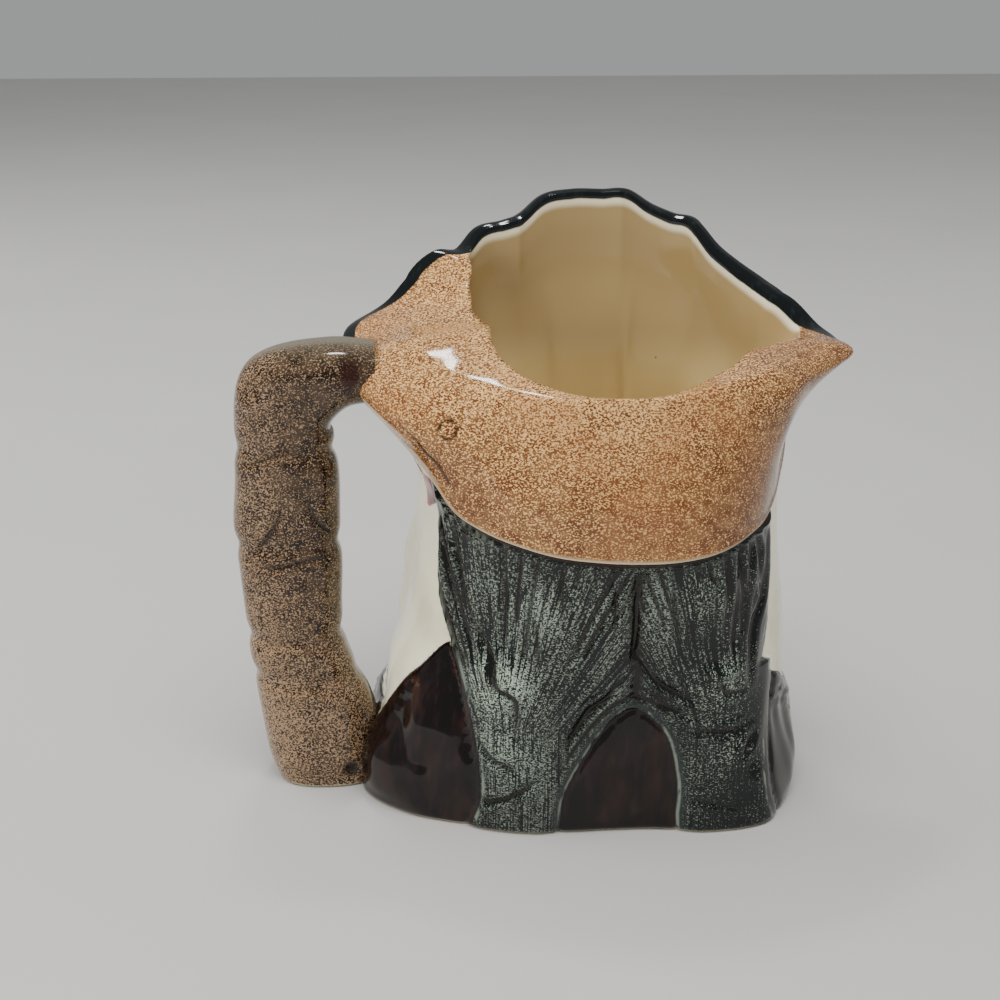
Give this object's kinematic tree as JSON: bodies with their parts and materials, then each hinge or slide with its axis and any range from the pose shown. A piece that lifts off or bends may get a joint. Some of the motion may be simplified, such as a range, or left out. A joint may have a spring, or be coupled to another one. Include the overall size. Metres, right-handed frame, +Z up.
{
  "type": "toby jug",
  "caption": "Glazed figural jug in the form of a coated figure under a brimmed hat, open at the top, with a pouring spout and a jointed side handle.",
  "frame": {"origin": "on the flat underside, on the vertical axis of the hollow body, where the jug stands on a table", "axes": "+Z up, -Y the way the face looks, +X towards the handle, -X towards the spout"},
  "size_m": [0.1867, 0.1096, 0.1744],
  "materials": {
    "painted_glaze": "hand-painted under a clear gloss glaze: tan, grey-green, dark maroon, black, cream and grey-brown"
  },
  "bodies": {
    "root": {"toby_jug": "painted_glaze"}
  },
  "joints": []
}
